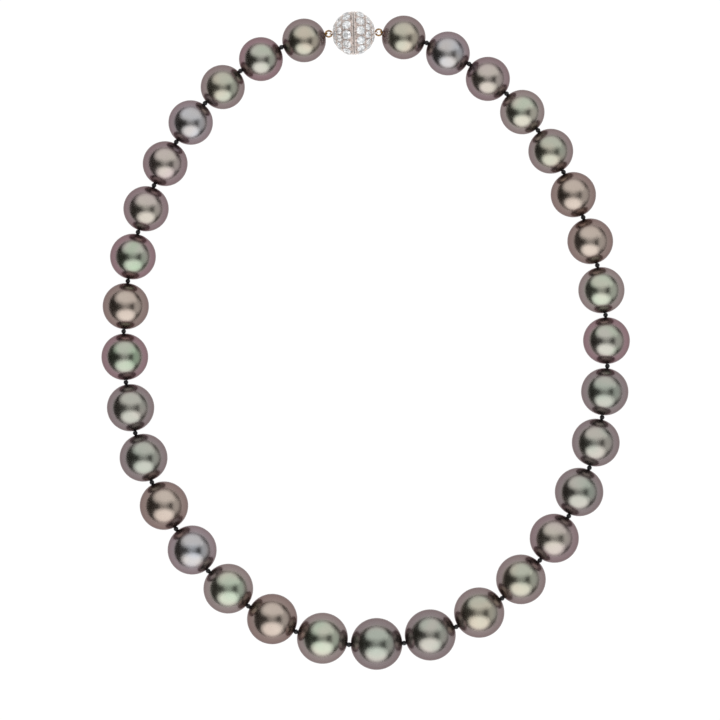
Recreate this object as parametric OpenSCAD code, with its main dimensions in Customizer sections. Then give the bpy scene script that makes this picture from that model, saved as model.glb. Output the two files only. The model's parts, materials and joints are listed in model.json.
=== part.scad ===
// Graduated strand of round dark pearls, knotted on silk, closed by a pave ball clasp.
// It lies flat on the XY plane, +Y towards the clasp, +Z up. The origin is under the middle of its outline.
// Pearls are numbered along the strand from the clasp, down the left side, round and up the right.

/* [Pearls] */
// Diameter of the middle pearl, the largest
middle_pearl_d = 13; // [12:0.1:14]
// Diameter of the two pearls beside the clasp, the smallest
end_pearl_d = 11; // [10:0.1:12]
// How late the pearls grow towards the middle: 1 is an even growth
growth = 1.4; // [1:0.1:2]
// Diameter of the drilled hole
hole_d = 0.8; // [0.7:0.05:1]

/* [Silk] */
// Space that a knot takes between two pearls at the top and the bottom of the loop
knot_gap = 0.85; // [0.85:0.05:1.2]
// How much wider that space is at the sides of the loop
side_slack = 0.2; // [0:0.05:0.4]
// Diameter of the silk
silk_d = 0.6; // [0.4:0.05:0.65]
// Diameter of a knot
knot_d = 1.1; // [0.9:0.05:1.1]

/* [Loop] */
// How much longer than wide the loop lies
loop_oval = 0.121; // [0.08:0.001:0.16]
// How much the loop narrows away from the clasp
loop_egg = 0.0055; // [0:0.0005:0.02]
// How straight the sides of the loop are
loop_square = 0.0095; // [0:0.0005:0.02]
// Angle by which the loop leans to the left
lean = 2.9; // [-5:0.1:5]
// Angle from the loop's tip to the clasp, which lies a little to the right of it
clasp_slide = 0.77; // [-3:0.01:3]

/* [Clasp] */
// Diameter of the clasp ball over its stones
ball_d = 11.1; // [10.9:0.1:11.3]
// Width of the seam between the two halves
seam = 0.16; // [0.14:0.01:0.2]
// Diameter of the clasp magnets
magnet_d = 6; // [5:0.1:6.2]
// Thickness of each magnet
magnet_t = 1.7; // [1.2:0.1:1.8]
// Turn of the jump rings about the clasp's axis, from lying flat
ring_turn = 15; // [0:5:90]

/* [Hidden] */
$fn = 96;
PEARLS = 33;
SIDE = 16;      // pearls on each side of the middle one
MIDDLE = SIDE + 1;
SIDES = ["left", "right"];
ROWS = ["large", "medium", "small"];
function pearl_name(k) = str("pearl_", k < 10 ? "0" : "", k);
function stones_name(row, side) = str("diamonds_", ROWS[row], "_", side);

// Overtone of each pearl, from the clasp round to the clasp
OVERTONES = [
    "olive", "peacock", "olive", "silver", "rose", "rose", "peacock", "bronze",
    "peacock", "steel", "steel", "bronze", "silver", "pistachio", "bronze", "pistachio",
    "steel",
    "steel", "olive", "olive", "rose", "steel", "steel", "steel", "peacock",
    "pistachio", "bronze", "bronze", "olive", "pistachio", "rose", "silver", "olive"
];
function overtone_colour(name) =
    name == "olive" ? "#8a8766" :
    name == "peacock" ? "#5f7565" :
    name == "pistachio" ? "#9aa584" :
    name == "silver" ? "#8f939b" :
    name == "rose" ? "#907f82" :
    name == "bronze" ? "#8a7560" : "#777b79";
SILK_BLACK = "#1d1b1c";
WHITE_GOLD = "#c9c7c4";
ROSE_GOLD = "#c9a58c";
BULLION_GOLD = "#8a6a3c";
NICKEL = "#8b8d90";
DIAMOND = "#eef2f5";

// Stones: diameter, latitude from the seam towards the pole and number, row by row
stone_d = [2.25, 1.65, 1.3];
stone_lat = [20, 45, 66];
stone_count = [12, 12, 8];
stone_phase = [-9, -3];    // turn of the rows about the clasp's axis, left and right
crown = 0.15;              // parts of a stone's height, as shares of its diameter
girdle = 0.03;
pavilion = 0.43;
table = 0.57;
seat_clearance = 0.02;

// Clasp shells
ball_r = ball_d / 2;
shell_r = ball_r - 0.32;   // metal between the stones
pole_at = shell_r - 0.18;   // flat at the pole, under the eye
cavity_r = shell_r - 1.35;
pocket_depth = seam / 2 + magnet_t + seat_clearance;
cup_depth = pocket_depth + 0.5;
vent_d = 1.6;
band_width = 0.4;          // plain band along each edge of the seam
band_height = 0.08;

// The end fittings lie along the clasp's axis. Distances are from the ball's centre.
eye_wire_d = 0.34;
eye_loop_r = 0.45;         // radius of the eye's centre line
eye_at = ball_r - 0.05;
eye_foot_r = 0.85;
eye_foot_at = pole_at + 0.01;
eye_foot_t = 0.1;
peg_d = 0.6;
peg_length = 0.9;
ring_wire_d = 0.44;
ring_loop_r = 0.8;         // radius of the jump ring's centre line
ring_at = ball_r + 0.73;
bullion_wire_d = 0.26;
bullion_loop_r = 0.44;
end_hold = ring_at + ring_loop_r;    // where the silk's end loop holds the jump ring
end_gap = 0.12;            // from there to the end pearl's surface
end_mouth_d = 1.2;         // wider mouth of the end pearl's hole, for the bullion
end_mouth_depth = 0.5;
silk_start = 0.62;         // from a knot's centre to the next pearl's silk
silk_end = 0.6;            // from the jump ring's hold to the end of the silk

// Sizes along the strand: pearl k, and the gap that the knot after it takes
function pearl_d(k) =
    end_pearl_d + (middle_pearl_d - end_pearl_d) * pow(1 - abs(k - MIDDLE) / SIDE, growth);
function gap(k) = knot_gap + side_slack * pow(sin(360 * k / PEARLS), 2);
// Straight run of silk on either side of pearl k's centre, to the bends before and after it
function run_before(k) = pearl_d(k) / 2 + (k == 1 ? end_gap : gap(k - 1) / 2);
function run_after(k) = pearl_d(k) / 2 + (k == PEARLS ? end_gap : gap(k) / 2);
// Bend k lies after pearl k. Bends 0 and PEARLS are at the jump rings, with the clasp between them.
function run(k) = k == 0 ? 2 * end_hold : run_before(k) + run_after(k);

// The closed curve that every bend lies on. Angles run from its tip to the left.
function loop_radius(a) =
    1 + loop_oval * cos(2 * a) + loop_egg * cos(3 * a) + loop_square * cos(4 * a);
function loop_point(a, size) = size * loop_radius(a) * [-sin(a), cos(a)];
// Turn from angle a after which a straight run of that length meets the curve again
function run_turn(a, length, size, turn = 10, tries = 6) =
    tries == 0 ? turn :
    run_turn(a, length, size,
        turn * length / norm(loop_point(a + turn, size) - loop_point(a, size)), tries - 1);
// Angle of the right jump ring, then those of bends 0 to PEARLS
function bend_angles(size) = [
    for (k = -1, a = -clasp_slide - asin(end_hold / size / loop_radius(0)); k <= PEARLS;
         a = a + run_turn(a, run(k + 1), size), k = k + 1) a
];
function all_round(size) = let (a = bend_angles(size)) a[PEARLS + 1] - a[0];
// The size at which the strand closes
function closed_size(size = 68, tries = 6) =
    tries == 0 ? size : closed_size(size * all_round(size) / 360, tries - 1);
loop_size = closed_size();
bend_angle = bend_angles(loop_size);

// Places in the plane, before the outline is centred
function leaned(p) = [p.x * cos(lean) - p.y * sin(lean), p.x * sin(lean) + p.y * cos(lean)];
function loop_bend(k) = leaned(loop_point(bend_angle[k + 1], loop_size));
function loop_pearl(k) =
    let (way = loop_bend(k) - loop_bend(k - 1)) loop_bend(k - 1) + way / norm(way) * run_before(k);
loop_ball = (loop_bend(0) + loop_bend(PEARLS)) / 2;
clasp_way = loop_bend(PEARLS) - loop_bend(0);
clasp_angle = atan2(clasp_way.y, clasp_way.x);
outline = [
    for (way = [1, -1]) loop_ball + way * ball_r * [1, 1],
    for (k = [1:PEARLS], way = [1, -1]) loop_pearl(k) + way * pearl_d(k) / 2 * [1, 1]
];
xs = [for (p = outline) p.x];
ys = [for (p = outline) p.y];
middle_of_outline = [max(xs) + min(xs), max(ys) + min(ys)] / 2;

// Places in the part's frame. Every pearl and the clasp ball rest on the plane.
function on_plane(p, height) = [p.x - middle_of_outline.x, p.y - middle_of_outline.y, height];
function bend(k) =
    on_plane(loop_bend(k), k == 0 || k == PEARLS ? ball_r : (pearl_d(k) + pearl_d(k + 1)) / 4);
function pearl_centre(k) = on_plane(loop_pearl(k), pearl_d(k) / 2);
// The bends of pearl k towards the middle pearl and towards the clasp
function inner(k) = k <= MIDDLE ? k : k - 1;
function outer(k) = k <= MIDDLE ? k - 1 : k;

// Turns the Z axis onto the way from one point to another
module along(from, to) {
    way = to - from;
    rotate([0, acos(way.z / norm(way)), atan2(way.y, way.x)]) children();
}

// The clasp's frame: the ball's centre, with +X from the seam to the eye
module in_clasp(side) {
    translate(on_plane(loop_ball, ball_r))
        rotate([0, 0, clasp_angle + (side == "left" ? 180 : 0)]) children();
}

module wire_loop(loop_r, wire_d) {
    rotate_extrude() translate([loop_r, 0]) circle(d = wire_d);
}

// Round pearl, drilled from bend to bend
module drilled_pearl(k) {
    way = bend(k) - bend(k - 1);
    color(overtone_colour(OVERTONES[k - 1])) translate(pearl_centre(k)) difference() {
        rotate([0, 0, atan2(way.y, way.x) + 90]) sphere(d = pearl_d(k));
        along(bend(k - 1), bend(k)) cylinder(d = hole_d, h = pearl_d(k) + 1, center = true);
        if (k == 1 || k == PEARLS)
            along(bend(inner(k)), bend(outer(k)))
                translate([0, 0, pearl_d(k) / 2 - end_mouth_depth]) cylinder(d = end_mouth_d, h = 1);
    }
}

// Silk through a pearl, from past the knot on the middle pearl's side to the knot on the clasp's side.
// The middle pearl has a knot on both sides, and the end pearls' silk ends inside the bullion.
module silk(k) {
    from = bend(inner(k));
    to = bend(outer(k));
    length = norm(to - from);
    start = k == MIDDLE ? knot_d / 4 : silk_start;
    end = k == 1 || k == PEARLS ? silk_end : knot_d / 4;
    color(SILK_BLACK) translate(from) along(from, to) {
        translate([0, 0, start]) cylinder(d = silk_d, h = length - start - end);
        if (k == MIDDLE) sphere(d = knot_d);
        if (k > 1 && k < PEARLS) translate([0, 0, length]) sphere(d = knot_d);
    }
}

module pearl(k) {
    drilled_pearl(k);
    silk(k);
}

// Round brilliant: table, crown, girdle and pavilion, in place on its radius of the ball
module brilliant(d) {
    translate([0, 0, sqrt(pow(shell_r, 2) - pow(d / 2, 2))]) rotate_extrude() polygon([
        [0, -pavilion * d], [d / 2, 0], [d / 2, girdle * d],
        [table * d / 2, (girdle + crown) * d], [0, (girdle + crown) * d]
    ]);
}

// Cut for a stone: a cone under its pavilion and a straight wall out of the shell
module seat(d) {
    r = d / 2 + seat_clearance;
    translate([0, 0, sqrt(pow(shell_r, 2) - pow(d / 2, 2))]) rotate_extrude() polygon([
        [0, -pavilion * d - seat_clearance], [r, 0], [r, d], [0, d]
    ]);
}

// Repeats its children at every stone of a row
module in_row(row, side) {
    phase = stone_phase[side == "left" ? 0 : 1] + (row == 1 ? 180 / stone_count[row] : 0);
    for (i = [0:stone_count[row] - 1])
        rotate([phase + 360 * i / stone_count[row], 0, 0]) rotate([0, stone_lat[row], 0]) children();
}

module diamonds(row, side) {
    color(DIAMOND) in_clasp(side) in_row(row, side) brilliant(stone_d[row]);
}

// Half of the shell's section, with the clasp's axis upright: flat pole, band along the seam,
// magnet pocket, hollow behind it and the hole for the eye's peg
module shell_section() {
    difference() {
        union() {
            intersection() {
                circle(shell_r);
                translate([0, seam / 2]) square([ball_d, pole_at - seam / 2]);
            }
            translate([0, seam / 2]) square([shell_r + band_height, band_width]);
        }
        square([magnet_d / 2 + seat_clearance, pocket_depth]);
        intersection() {
            circle(cavity_r);
            translate([0, cup_depth]) square([ball_d, ball_d]);
        }
        square([vent_d / 2, cavity_r]);
        square([peg_d / 2 + seat_clearance, ball_d]);
    }
}

// Half ball of white gold with a seat for each of its stones
module clasp_shell(side) {
    color(WHITE_GOLD) in_clasp(side) difference() {
        rotate([0, 90, 0]) rotate_extrude() shell_section();
        for (row = [0:2]) in_row(row, side) seat(stone_d[row]);
    }
}

module clasp_magnet(side) {
    color(NICKEL) in_clasp(side) translate([seam / 2, 0, 0]) rotate([0, 90, 0])
        cylinder(d = magnet_d, h = magnet_t);
}

// Eye at the pole of a half: a loop of wire on a round foot, pegged into the shell
module clasp_eye(side) {
    color(WHITE_GOLD) in_clasp(side) {
        difference() {
            translate([eye_at, 0, 0]) rotate([ring_turn + 90, 0, 0]) wire_loop(eye_loop_r, eye_wire_d);
            translate([0, -ball_r, -ball_r]) cube([eye_foot_at + eye_foot_t / 2, ball_d, ball_d]);
        }
        translate([eye_foot_at, 0, 0]) rotate([0, 90, 0]) cylinder(r = eye_foot_r, h = eye_foot_t);
        translate([eye_foot_at + eye_foot_t / 2, 0, 0]) rotate([0, -90, 0])
            cylinder(d = peg_d, h = peg_length);
    }
}

module jump_ring(side) {
    color(ROSE_GOLD) in_clasp(side) translate([ring_at, 0, 0]) rotate([ring_turn, 0, 0])
        wire_loop(ring_loop_r, ring_wire_d);
}

// Loop of fine gold coil that guards the silk where it passes round the jump ring
module bullion(side) {
    hold = bend(side == "left" ? 0 : PEARLS);
    end_pearl = pearl_centre(side == "left" ? 1 : PEARLS);
    color(BULLION_GOLD) translate(hold) along(hold, end_pearl)
        rotate([0, 0, ring_turn + 90]) rotate([0, 90, 0]) wire_loop(bullion_loop_r, bullion_wire_d);
}

for (k = [1:PEARLS]) pearl(k);
for (side = SIDES) {
    clasp_shell(side);
    clasp_magnet(side);
    clasp_eye(side);
    jump_ring(side);
    bullion(side);
    for (row = [0:2]) diamonds(row, side);
}
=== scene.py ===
"""Knotted strand of dark round pearls with a pave ball clasp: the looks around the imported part.

The strand lies flat, +Y towards the clasp and +Z up. Pearls are numbered from the clasp, down the left
side and up the right. Shapes are worked out in millimetres and turned to metres as their mesh is made.
"""
import json
import math

import bpy
import numpy as np
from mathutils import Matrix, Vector


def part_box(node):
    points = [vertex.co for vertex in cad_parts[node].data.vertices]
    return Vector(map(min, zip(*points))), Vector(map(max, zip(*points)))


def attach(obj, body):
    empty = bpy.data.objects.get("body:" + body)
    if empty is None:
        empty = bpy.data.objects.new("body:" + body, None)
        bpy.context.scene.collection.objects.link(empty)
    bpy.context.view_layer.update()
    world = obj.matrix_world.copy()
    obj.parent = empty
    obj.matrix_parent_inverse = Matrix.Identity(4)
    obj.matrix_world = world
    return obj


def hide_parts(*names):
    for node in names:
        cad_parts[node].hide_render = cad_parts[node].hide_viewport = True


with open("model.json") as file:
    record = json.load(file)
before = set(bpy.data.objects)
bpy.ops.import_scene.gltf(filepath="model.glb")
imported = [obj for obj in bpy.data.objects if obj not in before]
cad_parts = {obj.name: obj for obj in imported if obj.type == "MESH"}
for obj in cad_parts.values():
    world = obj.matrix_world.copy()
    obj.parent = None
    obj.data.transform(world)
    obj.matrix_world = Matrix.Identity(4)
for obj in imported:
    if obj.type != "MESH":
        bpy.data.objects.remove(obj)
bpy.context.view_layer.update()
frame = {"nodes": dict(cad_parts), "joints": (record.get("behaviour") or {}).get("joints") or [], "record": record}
MM = 0.001

# ---------------------------------------------------------------- sizes, in millimetres
PEARLS = 33
MIDDLE = 17
HOLE_R = 0.4
LIP = 0.09               # rounding where the drill broke through the nacre
OFF_ROUND = 0.0006       # share of the radius that each slow wave moves the surface
END_MOUTH_R = 0.6        # wider mouth of the end pearls, for the bullion
END_MOUTH_DEPTH = 0.5
SILK_R = 0.29
SILK_PLY = 0.035         # how far the three plies stand out
SILK_LAY = 1.3           # length of one turn of the plies
KNOT_R = 0.63
KNOT_STRAND_R = 0.22
SILK_IN_KNOT = 0.2       # how far short of a knot's centre the silk ends
KNOT_TILT = 55           # of its turns, from square to the strand
SILK_START = 0.62        # from a knot's centre to the next pearl's silk
SILK_END = 0.6           # from the jump ring's hold to the end of the silk

BALL_R = 5.55
SHELL_R = 5.23
POLE_AT = 5.05           # flat under the eye
SEAM = 0.16
BAND_R = 5.31
BAND_WIDTH = 0.4
SEAM_LIP_WIDTH = 0.5
SEAM_HAIRLINE = 0.04
ROWS = ["large", "medium", "small"]
STONE_D = [2.25, 1.65, 1.3]
STONE_LATITUDE = [20, 45, 66]
STONE_COUNT = [12, 12, 8]
STONE_PHASE = {"left": -9, "right": -3}
CROWN, GIRDLE, PAVILION, TABLE = 0.15, 0.03, 0.43, 0.57    # shares of a stone's diameter
STAR_R, TIP_R = 0.39, 0.12       # where the stars and the lower facets end, as shares of it too
GRAIN_D = 0.3
GRAIN_PITCH = 0.33
MILGRAIN_D = 0.36
MILGRAIN_PITCH = 0.42      # coarser than real milgrain, so that its beads can be told apart

RING_TURN = 15
EYE_WIRE_R = 0.17
EYE_LOOP_R = 0.45
EYE_AT = BALL_R - 0.05
EYE_FOOT_AT = POLE_AT + 0.01
EYE_FOOT_R = 0.85
EYE_FOOT_T = 0.1
EYE_PEG_R = 0.3
EYE_PEG_LENGTH = 0.9
RING_WIRE_R = 0.22
RING_LOOP_R = 0.8
RING_AT = BALL_R + 0.73
BULLION_R = 0.13         # of the coil, outside
BULLION_WIRE_R = 0.03
BULLION_LOOP_R = 0.44
BULLION_TURNS = 42

# ---------------------------------------------------------------- places, from the frame
SIDES = {"left": 1, "right": PEARLS}


def middle(node):
    low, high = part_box(node)
    return np.array((low + high) / 2) / MM


def knot_places():
    """Points where the strand bends: 0 and 33 at the jump rings, and k at the knot after pearl k."""
    places = {0: middle("bullion_left"), PEARLS: middle("bullion_right")}
    for joint in frame["joints"]:
        if joint["name"].startswith("knot_"):
            places[int(joint["name"].split("_")[1])] = np.array(joint["pos_m"]) / MM
    return np.array([places[k] for k in range(PEARLS + 1)])


def top_of(node):
    """The highest point of a node's mesh: a pearl's pole, straight above its centre."""
    mesh = frame["nodes"][node].data
    points = np.empty(len(mesh.vertices) * 3, np.float32)
    mesh.vertices.foreach_get("co", points)
    points = points.reshape(-1, 3) / MM
    return points[points[:, 2].argmax()]


BEND = knot_places()
POLE = np.array([top_of(f"pearl_{k:02d}") for k in range(1, PEARLS + 1)])
PEARL_R = POLE[:, 2] / 2
PEARL_AT = np.column_stack([POLE[:, :2], PEARL_R])
BALL_AT = (middle("jump_ring_left") + middle("jump_ring_right")) / 2


def clasp_frame(side):
    """Turn from the clasp half's own frame, +X from the seam to the eye and +Z up, to the part's."""
    axis = middle(f"jump_ring_{side}") - BALL_AT
    axis /= np.linalg.norm(axis)
    up = np.array([0.0, 0.0, 1.0])
    return np.column_stack([axis, np.cross(up, axis), up])


def turned(axis, degrees):
    """Turn about the X, Y or Z axis."""
    c, s = math.cos(math.radians(degrees)), math.sin(math.radians(degrees))
    turn = {"X": [[1, 0, 0], [0, c, -s], [0, s, c]],
            "Y": [[c, 0, s], [0, 1, 0], [-s, 0, c]],
            "Z": [[c, -s, 0], [s, c, 0], [0, 0, 1]]}
    return np.array(turn[axis], float)


def frame_along(way):
    """Turn that carries Z onto a way, with X kept level."""
    z = way / np.linalg.norm(way)
    x = np.cross([0.0, 0.0, 1.0], z)
    x /= np.linalg.norm(x)
    return np.column_stack([x, np.cross(z, x), z])


# ---------------------------------------------------------------- surfaces
TUBE_GUIDE = [0.31, 0.17, 0.94]


def grid(points, closed_along=False):
    """A surface from rows of points round it, each row closed. Its ends are closed by flat caps, or the
    last row joins the first. Gives points and faces."""
    rows, columns = points.shape[:2]
    row, column = np.meshgrid(np.arange(rows if closed_along else rows - 1), np.arange(columns),
                              indexing="ij")
    next_row, next_column = (row + 1) % rows, (column + 1) % columns
    quads = np.stack([row * columns + column, row * columns + next_column,
                      next_row * columns + next_column, next_row * columns + column], -1)
    faces = quads.reshape(-1, 4).tolist()
    if not closed_along:
        faces.append(list(range(columns))[::-1])
        faces.append([(rows - 1) * columns + i for i in range(columns)])
    return points.reshape(-1, 3), faces


def revolved(profile, around, closed=False):
    """A profile of (radius, height) points carried round the Z axis."""
    turn = np.linspace(0, 2 * np.pi, around, endpoint=False)
    radius, height = profile[:, 0, None], profile[:, 1, None]
    points = np.stack([radius * np.cos(turn), radius * np.sin(turn), height + 0 * turn], -1)
    return grid(points, closed)


def tube(path, radius, around, closed=False):
    """A round section carried along a path. radius is one number or an array over (path point, angle).
    The section is turned to a fixed guide direction, which no path here runs along."""
    ahead = np.roll(path, -1, 0) - np.roll(path, 1, 0)
    if not closed:
        ahead[0], ahead[-1] = path[1] - path[0], path[-1] - path[-2]
    ahead /= np.linalg.norm(ahead, axis=1, keepdims=True)
    side = np.cross(np.broadcast_to(TUBE_GUIDE, ahead.shape), ahead)
    side /= np.linalg.norm(side, axis=1, keepdims=True)
    other = np.cross(ahead, side)
    turn = np.linspace(0, 2 * np.pi, around, endpoint=False)
    ring = side[:, None] * np.cos(turn)[:, None] + other[:, None] * np.sin(turn)[:, None]
    reach = np.broadcast_to(radius, (len(path), around))[..., None]
    return grid(path[:, None] + ring * reach, closed)


def joined(shapes):
    """Several closed surfaces as one."""
    points, faces, start = [], [], 0
    for shape_points, shape_faces in shapes:
        points.append(shape_points)
        faces.extend([[i + start for i in face] for face in shape_faces])
        start += len(shape_points)
    return np.vstack(points), faces


def copies(shape, turns, places, sizes):
    """One small shape repeated with a turn, a place and a size each."""
    points, faces = shape
    moved = np.einsum("kij,pj->kpi", turns, points) * sizes[:, None, None] + places[:, None]
    starts = np.arange(len(places)) * len(points)
    all_faces = [[i + start for i in face] for start in starts.tolist() for face in faces]
    return moved.reshape(-1, 3), all_faces


def piece(name, shape, material, body, smooth=True):
    """An object with its place in its mesh, riding on a body."""
    points, faces = shape
    mesh = bpy.data.meshes.new(name)
    mesh.from_pydata((points * MM).tolist(), [], faces)
    mesh.polygons.foreach_set("use_smooth", [smooth] * len(mesh.polygons))
    mesh.materials.append(material)
    made = bpy.data.objects.new(name, mesh)
    bpy.context.scene.collection.objects.link(made)
    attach(made, body)
    return made


def placed(shape, turn, place):
    points, faces = shape
    return points @ turn.T + place, faces


# ---------------------------------------------------------------- materials
def linear(colour):
    """An sRGB hex colour as linear light."""
    values = [int(colour[i:i + 2], 16) / 255 for i in (1, 3, 5)]
    return [v / 12.92 if v <= 0.04045 else ((v + 0.055) / 1.055) ** 2.4 for v in values] + [1.0]


def add(tree, kind, inputs=None, **settings):
    """A node with its settings, and its inputs set to values or linked to outputs."""
    made = tree.nodes.new(kind)
    for setting, value in settings.items():
        setattr(made, setting, value)
    for socket, value in (inputs or {}).items():
        if isinstance(value, bpy.types.NodeSocket):
            tree.links.new(value, made.inputs[socket])
        else:
            made.inputs[socket].default_value = value
    return made


def surface(name, **constants):
    """A material whose shader has these constants. Gives its node tree, shader and Object coordinates."""
    made = bpy.data.materials.new(name)
    made.use_nodes = True
    tree = made.node_tree
    tree.nodes.clear()
    shader = add(tree, "ShaderNodeBsdfPrincipled", {k.replace("_", " "): v for k, v in constants.items()})
    add(tree, "ShaderNodeOutputMaterial", {"Surface": shader.outputs[0]})
    place = add(tree, "ShaderNodeTexCoord").outputs["Object"]
    return made, tree, shader, place


def mottle(tree, place, grain_mm, detail=2.0, low=0.0, high=1.0):
    """A soft mottle with grains of a real size, spread from low to high."""
    scale = 1 / (grain_mm * MM)
    made = add(tree, "ShaderNodeTexNoise", {"Vector": place, "Scale": scale, "Detail": detail})
    return add(tree, "ShaderNodeMapRange", {"Value": made.outputs["Fac"], "From Min": 0.35,
                                            "From Max": 0.65, "To Min": low, "To Max": high}).outputs[0]


def nacre(name, body, bloom, rim):
    """Nacre of a black-lipped oyster: a metal-like body colour that drifts to a second tint, with a
    rose or aubergine overtone where the layers are seen edge on. The eye gets soft-edged, deep mirror
    images, a little cloudiness under them and a surface with very shallow growth marks."""
    made, tree, shader, place = surface(name, Metallic=0.98, IOR=1.53, Specular_Tint=linear("#b0a2a2"),
                                        Coat_Weight=0.3, Coat_Roughness=0.12, Coat_IOR=1.5)
    cloud = mottle(tree, place, 7.0, 1.0)
    tint = add(tree, "ShaderNodeMix", {0: cloud, 6: linear(body), 7: linear(bloom)}, data_type="RGBA")
    edge_on = add(tree, "ShaderNodeLayerWeight", {"Blend": 0.5}).outputs["Facing"]
    overtone = add(tree, "ShaderNodeMapRange", {"Value": edge_on, "From Min": 0.12, "From Max": 0.42},
                   interpolation_type="SMOOTHSTEP").outputs[0]
    colour = add(tree, "ShaderNodeMix", {0: overtone, 6: tint.outputs[2], 7: linear(rim)}, data_type="RGBA")
    growth = mottle(tree, place, 0.9, 3.0)
    rough = mottle(tree, place, 2.2, 2.0, 0.23, 0.28)
    bump = add(tree, "ShaderNodeBump", {"Height": growth, "Strength": 0.12, "Distance": 0.004 * MM})
    tree.links.new(colour.outputs[2], shader.inputs["Base Color"])
    tree.links.new(rough, shader.inputs["Roughness"])
    tree.links.new(bump.outputs[0], shader.inputs["Normal"])
    return made


def cast_gold(name, colour, shade, rough_low, rough_high, metal=1.0):
    """Polished cast gold alloy: bright, with fine polishing hairlines and a darker shade colour mottled in at
    random, which is painted shade. Below 1, metal makes it paler and satin, for beads too small to catch a light
    each."""
    made, tree, shader, place = surface(name, Metallic=metal, Specular_Tint=linear("#f4f2f0"))
    # painted shade: the darker shade colour, mottled in at random
    shade_mottle = mottle(tree, place, 0.5, 3.0)
    hairline = mottle(tree, place, 0.06, 2.0)
    rough = mottle(tree, place, 0.3, 2.0, rough_low, rough_high)
    bump = add(tree, "ShaderNodeBump", {"Height": hairline, "Strength": 0.2, "Distance": 0.004 * MM})
    tint = add(tree, "ShaderNodeMix", {0: shade_mottle, 6: linear(colour), 7: linear(shade)}, data_type="RGBA")
    tree.links.new(tint.outputs[2], shader.inputs["Base Color"])
    tree.links.new(rough, shader.inputs["Roughness"])
    tree.links.new(bump.outputs[0], shader.inputs["Normal"])
    return made


def spun_silk():
    """Black plied silk, waxed: nearly black, with a soft sheen on the crowns of the plies and fine fibres
    along the thread."""
    made, tree, shader, place = surface("black_silk", Sheen_Weight=0.35, Sheen_Roughness=0.4,
                                        Specular_IOR_Level=0.5)
    fibre = mottle(tree, place, 0.05, 3.0)
    bump = add(tree, "ShaderNodeBump", {"Height": fibre, "Strength": 0.6, "Distance": 0.015 * MM})
    dye = {0: fibre, 6: linear("#0d0c0e"), 7: linear("#2a282c")}
    tint = add(tree, "ShaderNodeMix", dye, data_type="RGBA")
    tree.links.new(tint.outputs[2], shader.inputs["Base Color"])
    tree.links.new(mottle(tree, place, 0.2, 2.0, 0.3, 0.5), shader.inputs["Roughness"])
    tree.links.new(bump.outputs[0], shader.inputs["Normal"])
    return made


def cut_diamond():
    """Colourless round brilliants: clear and very refractive, so that each facet flashes or goes dark. Real
    diamonds neither glow nor scatter: the glow and the unclear share stand for flashes that this studio
    doesn't give. Faint differences in the polish keep neighbouring stones from matching."""
    made, tree, shader, place = surface("cut_diamond", IOR=2.417, Transmission_Weight=0.86,
                                        Emission_Color=linear("#ffffff"), Emission_Strength=0.05)
    clarity = {0: mottle(tree, place, 1.7, 0.0), 6: linear("#ffffff"), 7: linear("#eef3f7")}
    tint = add(tree, "ShaderNodeMix", clarity, data_type="RGBA")
    tree.links.new(tint.outputs[2], shader.inputs["Base Color"])
    tree.links.new(mottle(tree, place, 0.8, 1.0, 0.0, 0.03), shader.inputs["Roughness"])
    return made


# Body, second tint and edge-on overtone of each kind of pearl
OVERTONE = {
    "olive": ("#9b9e90", "#a79f90", "#897b7a"),
    "peacock": ("#8e9f89", "#a09f96", "#8b7277"),
    "pistachio": ("#9ba695", "#a8a598", "#8d807e"),
    "silver": ("#9ea1a7", "#a49f9c", "#8b7d81"),
    "rose": ("#a49896", "#a49e94", "#877578"),
    "bronze": ("#a2958b", "#a89c92", "#887671"),
    "steel": ("#92988e", "#9f9b93", "#847879"),
}
SILK = spun_silk()
WHITE_GOLD = cast_gold("polished_white_gold", "#fbf4f0", "#efe4de", 0.08, 0.2, 0.45)
# The shell's metal is a darker copy of the white gold: painted shade on the low metal between the stones.
RECESS_SHADE_GOLD = cast_gold("white_gold_painted_recess_shade", "#d8c6be", "#65564f", 0.3, 0.5, 0.7)
ROSE_GOLD = cast_gold("polished_rose_gold", "#b8946a", "#5f4630", 0.06, 0.16)
# The seam lip's gold is nearly black: painted shade in the seam between the halves.
SEAM_SHADE_GOLD = cast_gold("white_gold_painted_seam_shade", "#5b504c", "#3a3330", 0.4, 0.6)
BULLION_GOLD = cast_gold("coiled_gold_wire", "#b98f4d", "#7a5a2c", 0.18, 0.32)
NICKEL = cast_gold("nickel_plated_magnet", "#a9a8a4", "#85847f", 0.2, 0.34)
DIAMOND = cut_diamond()


# ---------------------------------------------------------------- camera, light and floor
VIEW_CENTRE = np.array([-1.416, -4.954, 6.0])
VIEW_WIDTH = 180.63
LENS, SENSOR = 200.0, 36.0
SOFTBOX_LAYERS = [("cloth", 1.0, 0.72, 0.0), ("core", 0.68, 0.5, 0.01)]   # share, strength, nearer by
TABLE_HALF = 4000.0


def camera():
    """Looks straight down on the strand, the clasp at the top."""
    data = bpy.data.cameras.new("overhead")
    data.lens, data.sensor_width = LENS, SENSOR
    made = bpy.data.objects.new("overhead", data)
    made.location = (VIEW_CENTRE + [0, 0, VIEW_WIDTH * LENS / SENSOR]) * MM
    bpy.context.scene.collection.objects.link(made)
    bpy.context.scene.camera = made


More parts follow.
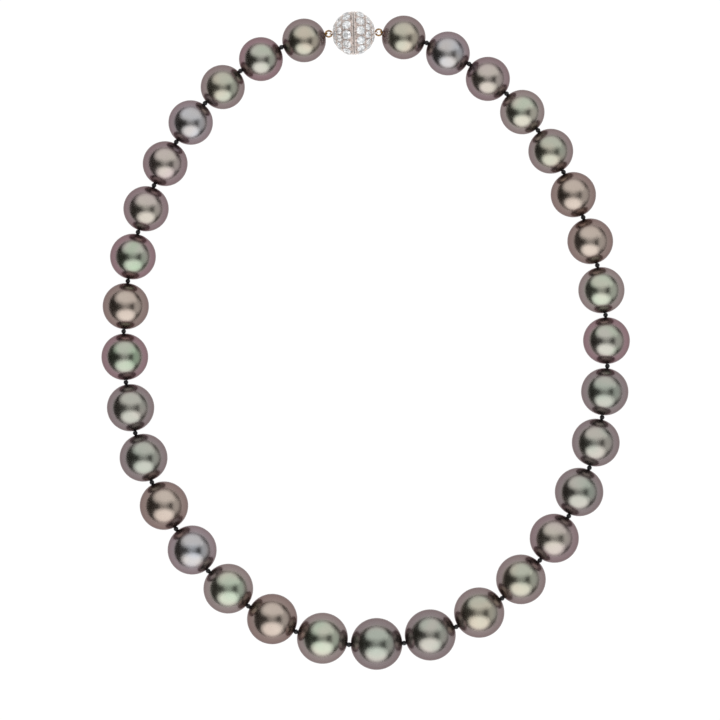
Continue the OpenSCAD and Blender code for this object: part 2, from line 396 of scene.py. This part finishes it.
def softbox(name, tilt, towards, distance, width, height, radiance):
    """An oval softbox that faces the strand, seen from it at a tilt from straight up towards an azimuth,
    with a brighter oval behind the middle of its cloth. Lengths are metres. A light's power is its
    radiance times pi times its area."""
    a, t = math.radians(towards), math.radians(tilt)
    way = Vector((math.sin(t) * math.cos(a), math.sin(t) * math.sin(a), math.cos(t)))
    for part, share, strength, nearer in SOFTBOX_LAYERS:
        data = bpy.data.lights.new(f"{name}_{part}", "AREA")
        data.shape = "ELLIPSE"
        data.size, data.size_y = width * share, height * share
        data.energy = radiance * strength * math.pi * math.pi / 4 * data.size * data.size_y
        made = bpy.data.objects.new(f"{name}_{part}", data)
        made.location = way * (distance - nearer)
        made.rotation_euler = (-way).to_track_quat("-Z", "Y").to_euler()
        made.visible_camera = False
        bpy.context.scene.collection.objects.link(made)


def table():
    """A white table, larger than any view."""
    made, tree, shader, place = surface("white_table", Roughness=0.8, Specular_IOR_Level=0.1,
                                        Emission_Color=linear("#ffffff"), Emission_Strength=0.98)
    board = {0: mottle(tree, place, 40.0, 3.0), 6: linear("#464646"), 7: linear("#424242")}
    tint = add(tree, "ShaderNodeMix", board, data_type="RGBA")
    tree.links.new(tint.outputs[2], shader.inputs["Base Color"])
    corners = np.array([[-1, -1, 0], [1, -1, 0], [1, 1, 0], [-1, 1, 0]]) * TABLE_HALF
    mesh = bpy.data.meshes.new("table")
    mesh.from_pydata((corners * MM).tolist(), [], [[0, 1, 2, 3]])
    mesh.materials.append(made)
    floor = bpy.data.objects.new("table", mesh)
    bpy.context.scene.collection.objects.link(floor)


def studio():
    """White all round for the camera, and a dark room in reflections."""
    world = bpy.data.worlds.new("studio")
    bpy.context.scene.world = world
    world.use_nodes = True
    tree = world.node_tree
    tree.nodes.clear()
    seen = add(tree, "ShaderNodeLightPath").outputs["Is Camera Ray"]
    room = {0: seen, 6: [0.011, 0.007, 0.004, 1], 7: [1.0, 1.0, 1.0, 1]}
    colour = add(tree, "ShaderNodeMix", room, data_type="RGBA")
    background = add(tree, "ShaderNodeBackground", {"Color": colour.outputs[2]})
    add(tree, "ShaderNodeOutputWorld", {"Surface": background.outputs[0]})
    bpy.context.scene.view_settings.view_transform = "Standard"


camera()
softbox("upper_softbox", 48, 90, 0.7, 1.75, 1.22, 1.08)
softbox("lower_softbox", 50, -90, 0.7, 1.40, 1.10, 1.6)
softbox("ceiling_card", 0, 0, 1.0, 0.9, 0.45, 0.42)
softbox("right_card", 63, 0, 0.8, 1.25, 0.72, 0.66)
table()
studio()


# ---------------------------------------------------------------- pearls
def pearl_shape(k):
    """A sphere drilled through, as one closed profile carried round the hole: the outside from mouth to
    mouth, a rounded lip, and the bore back. Two slow waves make it less than perfectly round, always
    inwards, and fade out at the mouths."""
    r = PEARL_R[k - 1]
    far_mouth = END_MOUTH_R if k in SIDES.values() else HOLE_R
    start, end = math.asin((HOLE_R + LIP) / r), math.pi - math.asin((far_mouth + LIP) / r)
    angle = np.linspace(start, end, 72)
    outside = np.column_stack([r * np.sin(angle), -r * np.cos(angle)])
    rim, near_rim = -r * math.cos(end), -r * math.cos(start)
    depth = END_MOUTH_DEPTH if far_mouth > HOLE_R else 2 * LIP
    bore = np.array([[far_mouth + 0.3 * LIP, rim - 0.3 * LIP], [far_mouth, rim - LIP],
                     [far_mouth, rim - depth], [HOLE_R, rim - depth - 0.01], [HOLE_R, 0],
                     [HOLE_R, near_rim + LIP], [HOLE_R + 0.3 * LIP, near_rim + 0.3 * LIP]])
    profile = np.vstack([outside, bore])
    points, faces = revolved(profile, 96, closed=True)
    around = np.arctan2(points[:, 1], points[:, 0])
    up = points[:, 2] / r
    wave = (np.sin(2 * around + 1.7 * k) + np.sin(3.1 * up + around + 0.9 * k)) * (1 - up ** 2)
    points = points * (1 - OFF_ROUND * (2 + wave))[:, None]
    turn = frame_along(BEND[k] - BEND[k - 1] if k > MIDDLE else BEND[k - 1] - BEND[k])
    return placed((points, faces), turn, PEARL_AT[k - 1])


def silk_knot(place, way, turn):
    """A knot drawn tight against both pearls: seven turns of the cord laid over a small ball, each a
    slanted circle, while the slant itself goes three times round the strand."""
    t = np.linspace(0, 2 * np.pi, 210, endpoint=False)
    tilt, reach = math.radians(KNOT_TILT), KNOT_R - KNOT_STRAND_R
    across, up = np.sin(7 * t) * math.cos(tilt), np.sin(7 * t) * math.sin(tilt)
    path = reach * np.column_stack([np.cos(7 * t) * np.cos(3 * t) - across * np.sin(3 * t),
                                    np.cos(7 * t) * np.sin(3 * t) + across * np.cos(3 * t), up])
    around = np.linspace(0, 2 * np.pi, 12, endpoint=False)
    plies = KNOT_STRAND_R - SILK_PLY * (1 - np.cos(3 * (around[None] + 5 * t[:, None]))) / 2
    return placed(tube(path, plies, 12, closed=True), frame_along(way) @ turned("Z", turn), place)


def silk_shape(k):
    """The plied silk through pearl k with the knot on its clasp side. The middle pearl has both its knots.
    Each knot is turned a little further than the last, so that neighbours don't match."""
    inner, outer = (k, k - 1) if k <= MIDDLE else (k - 1, k)
    way = BEND[outer] - BEND[inner]
    length = np.linalg.norm(way)
    first = SILK_IN_KNOT if k == MIDDLE else SILK_START
    last = SILK_END if k in SIDES.values() else SILK_IN_KNOT
    along = np.linspace(first, length - last, 60)
    path = np.column_stack([0 * along, 0 * along, along])
    around = np.linspace(0, 2 * np.pi, 18, endpoint=False)
    twist = 2 * np.pi * along[:, None] / SILK_LAY
    plies = SILK_R - SILK_PLY * (1 - np.cos(3 * (around[None] - twist))) / 2
    shapes = [placed(tube(path, plies, 18), frame_along(way), BEND[inner])]
    if k not in SIDES.values():
        shapes.append(silk_knot(BEND[outer], way, 37 * k))
    if k == MIDDLE:
        shapes.append(silk_knot(BEND[inner], way, 37 * k + 20))
    return joined(shapes)


NODE_SLOT = {row["node"]: row["material_slot"] for row in frame["record"]["subparts"]}
NACRE = {name: nacre(f"nacre_{name}", *tints) for name, tints in OVERTONE.items()}
for k in range(1, PEARLS + 1):
    node = f"pearl_{k:02d}"
    slot = NODE_SLOT[node]
    pearl = piece(f"nacre_{k:02d}", pearl_shape(k), NACRE[slot.split("_")[1]], node)
    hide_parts(node)
    piece(f"silk_{k:02d}", silk_shape(k), SILK, node)


# ---------------------------------------------------------------- clasp
def brilliant():
    """A round brilliant one unit across, its girdle's lower edge at height 0: table, 8 stars, 8 kites,
    16 upper facets, girdle, 16 lower facets and 8 mains. The kites and mains are flat, because the points
    between them lie on the plane of the facet at each side."""
    step = np.pi / 8
    top = GIRDLE + CROWN
    star_r, tip_r = STAR_R, TIP_R

    def ring(radius, height, count, start=0.0):
        angle = start + np.arange(count) * 2 * np.pi / count
        return np.column_stack([radius * np.cos(angle), radius * np.sin(angle), np.full(count, height)])

    star_height = top - CROWN * (star_r * math.cos(step) - TABLE / 2) / (0.5 - TABLE / 2)
    tip_height = -PAVILION * (1 - tip_r * math.cos(step) / 0.5)
    points = np.vstack([ring(TABLE / 2, top, 8), ring(star_r, star_height, 8, step), ring(0.5, GIRDLE, 16),
                        ring(0.5, 0, 16), ring(tip_r, tip_height, 8, step), [[0, 0, -PAVILION]]])
    stars, upper, lower, tips, culet = 8, 16, 32, 48, 56
    faces = [list(range(8))]
    for i in range(8):
        j, before = (i + 1) % 8, (i - 1) % 8
        u, v, w = 2 * i, 2 * i + 1, (2 * i + 2) % 16
        faces += [[i, stars + i, j], [stars + before, upper + u, stars + i, i],
                  [upper + u, upper + v, stars + i], [upper + v, upper + w, stars + i],
                  [lower + u, lower + v, upper + v, upper + u], [lower + v, lower + w, upper + w, upper + v],
                  [lower + v, lower + u, tips + i], [lower + w, lower + v, tips + i],
                  [tips + before, culet, tips + i, lower + u]]
    return points, faces


def bead():
    """A small round bead, 8 round and 5 high."""
    angle = np.linspace(0.35, np.pi - 0.35, 5)
    return revolved(np.column_stack([np.sin(angle), -np.cos(angle)]) / 2, 8)


def stone_turns(row, side):
    """Turn of each stone of a row, from Z to its place on the ball."""
    phase = STONE_PHASE[side] + (180 / STONE_COUNT[row] if row == 1 else 0)
    lean = turned("Y", STONE_LATITUDE[row])
    return np.array([clasp_frame(side) @ turned("X", phase + 360 * i / STONE_COUNT[row]) @ lean
                     for i in range(STONE_COUNT[row])])


def stones_shape(row, side):
    """A row of stones, each with its girdle on the shell, and each spun a little further than the last."""
    turns = stone_turns(row, side)
    d = STONE_D[row]
    girdle_at = math.sqrt(SHELL_R ** 2 - (d / 2) ** 2)
    spin = np.array([turned("Z", 7 * i) for i in range(len(turns))])
    return copies(brilliant(), turns @ spin, BALL_AT + turns[:, :, 2] * girdle_at, np.full(len(turns), d))


def grains_shape(side):
    """Bead-set grains: four raised at the girdle of each stone, and smaller ones over the metal between,
    spread as seeds on a spiral and left out under the stones, the seam's band and the eye."""
    turns = np.concatenate([stone_turns(row, side) for row in range(3)])
    radius = np.repeat(np.array(STONE_D) / 2, STONE_COUNT)
    centre = turns[:, :, 2]
    places, sizes = [], []
    for quarter in range(4):
        angle = np.radians(45 + 90 * quarter)
        reach = radius + 0.07
        out = turns[:, :, 0] * np.cos(angle) + turns[:, :, 1] * np.sin(angle)
        place = centre * (SHELL_R - 0.02) + out * reach[:, None]
        places.append(place)
        sizes.append(np.full(len(place), GRAIN_D * 1.1))
    count = int(4 * np.pi * SHELL_R ** 2 / GRAIN_PITCH ** 2)
    i = np.arange(count)
    height = 1 - (2 * i + 1) / count
    golden = i * np.pi * (3 - math.sqrt(5))
    flat = np.sqrt(1 - height ** 2)
    seeds = np.column_stack([height, flat * np.cos(golden), flat * np.sin(golden)])
    world = seeds @ clasp_frame(side).T
    from_stone = np.arccos(np.clip(world @ centre.T, -1, 1)) * SHELL_R - radius
    along = seeds[:, 0] * SHELL_R
    free = (from_stone.min(1) > 0.09) & (along > SEAM / 2 + BAND_WIDTH + 0.05)
    free &= flat * SHELL_R > EYE_FOOT_R + 0.1
    places.append(world[free] * (SHELL_R + 0.03))
    sizes.append(np.full(free.sum(), GRAIN_D * 0.8))
    places, sizes = np.concatenate(places), np.concatenate(sizes)
    upright = np.array([frame_along(p) for p in places])
    return copies(bead(), upright, BALL_AT + places, sizes)


def milgrain_shape(side):
    """A row of beads rolled along the edge of the half, beside the seam."""
    count = int(2 * np.pi * BAND_R / MILGRAIN_PITCH)
    angle = np.linspace(0, 2 * np.pi, count, endpoint=False)
    out = BAND_R + 0.05
    along = np.full(count, SEAM / 2 + BAND_WIDTH / 2)
    places = np.column_stack([along, out * np.cos(angle), out * np.sin(angle)]) @ clasp_frame(side).T
    upright = np.array([frame_along(p) for p in places])
    return copies(bead(), upright, BALL_AT + places, np.full(count, MILGRAIN_D))


def seam_lip_shape():
    """A low lip round the left half's edge that closes the seam but for a hairline, as a flat ring about
    +X. Its profile is a rectangle with its outer corner broken. It runs a little into the other half while
    a knot beside the clasp starts to bend."""
    back, face = SEAM / 2 + 0.05, SEAM_HAIRLINE - SEAM / 2
    outside = BAND_R - 0.12
    profile = np.array([[outside - SEAM_LIP_WIDTH, back], [outside - SEAM_LIP_WIDTH, face],
                        [outside - 0.04, face], [outside, face + 0.04], [outside, back]])
    return placed(revolved(profile, 128, closed=True), turned("Y", 90), np.zeros(3))


def wire_ring(loop_r, wire_r, seam_depth=0.0):
    """A loop of round wire about Z. Where its ends were soldered the wire necks in."""
    turn = np.linspace(0, 2 * np.pi, 96, endpoint=False)
    path = np.column_stack([loop_r * np.cos(turn), loop_r * np.sin(turn), 0 * turn])
    from_seam = np.minimum(turn, 2 * np.pi - turn)
    radius = wire_r * (1 - seam_depth * np.exp(-(from_seam / 0.05) ** 2))
    return tube(path, np.repeat(radius[:, None], 24, 1), 24, closed=True)


def eye_shape():
    """A wire loop that dips into a round foot, with a peg behind it, along +X."""
    loop = placed(wire_ring(EYE_LOOP_R, EYE_WIRE_R), turned("X", RING_TURN + 90), [EYE_AT, 0, 0])
    foot = np.array([[0.02, 0], [0.7, 0], [0.96, 0.1], [1, 0.35], [0.94, 0.7], [0.8, 0.9], [0.45, 1.0],
                     [0.02, 1.02]]) * [EYE_FOOT_R, EYE_FOOT_T]
    peg = np.array([[EYE_PEG_R * 0.8, -EYE_PEG_LENGTH], [EYE_PEG_R, 0.08 - EYE_PEG_LENGTH],
                    [EYE_PEG_R, 0.05]])
    lay_over = turned("Y", 90)
    return joined([loop, placed(revolved(foot, 48), lay_over, [EYE_FOOT_AT, 0, 0]),
                   placed(revolved(peg, 24), lay_over, [EYE_FOOT_AT + EYE_FOOT_T / 2, 0, 0])])


def bullion_shape(side):
    """French wire: a fine coil wound close round a loop. Its centre line is a helix round the loop's own
    circle, joined end to end."""
    t = np.linspace(0, 2 * np.pi, BULLION_TURNS * 10, endpoint=False)
    coil_r = BULLION_R - BULLION_WIRE_R
    reach = BULLION_LOOP_R + coil_r * np.cos(BULLION_TURNS * t)
    path = np.column_stack([reach * np.cos(t), reach * np.sin(t), coil_r * np.sin(BULLION_TURNS * t)])
    core = wire_ring(BULLION_LOOP_R, coil_r)
    hold = BEND[0 if side == "left" else PEARLS]
    way = PEARL_AT[SIDES[side] - 1] - hold
    turn = leaned(way) @ turned("Z", RING_TURN + 90) @ turned("Y", 90)
    return placed(joined([tube(path, BULLION_WIRE_R, 6, closed=True), core]), turn, hold)


def leaned(way):
    """Turn of Z onto a way: first its tilt about Y, then its azimuth about Z."""
    way = way / np.linalg.norm(way)
    azimuth = math.degrees(math.atan2(way[1], way[0]))
    return turned("Z", azimuth) @ turned("Y", math.degrees(math.acos(way[2])))


for side, end_pearl in SIDES.items():
    half = f"clasp_half_{side}"
    to_side = clasp_frame(side)
    shell = frame["nodes"][f"clasp_shell_{side}"]
    shell.data.materials.clear()
    # the shell's darker white gold is painted shade between the stones
    shell.data.materials.append(RECESS_SHADE_GOLD)
    magnet = frame["nodes"][f"clasp_magnet_{side}"]
    magnet.data.materials.clear()
    magnet.data.materials.append(NICKEL)
    for row, size in enumerate(ROWS):
        stones = stones_shape(row, side)
        stones = piece(f"brilliants_{size}_{side}", stones, DIAMOND, half, smooth=False)
        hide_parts(f"diamonds_{size}_{side}")
    piece(f"grains_{side}", grains_shape(side), WHITE_GOLD, half)
    piece(f"milgrain_{side}", milgrain_shape(side), WHITE_GOLD, half)
    if side == "left":
        lip = placed(seam_lip_shape(), to_side, BALL_AT)
        # the lip's dark gold is painted shade in the seam
        piece("seam_lip_left", lip, SEAM_SHADE_GOLD, half)
    eye = piece(f"eye_{side}", placed(eye_shape(), to_side, BALL_AT), WHITE_GOLD, half)
    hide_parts(f"clasp_eye_{side}")
    ring = placed(wire_ring(RING_LOOP_R, RING_WIRE_R, 0.12), turned("X", RING_TURN), [RING_AT, 0, 0])
    ring = placed(ring, to_side, BALL_AT)
    ring = piece(f"ring_{side}", ring, ROSE_GOLD, f"jump_ring_{side}")
    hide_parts(f"jump_ring_{side}")
    bullion = piece(f"french_wire_{side}", bullion_shape(side), BULLION_GOLD, f"pearl_{end_pearl:02d}")
    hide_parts(f"bullion_{side}")

bpy.context.view_layer.update()
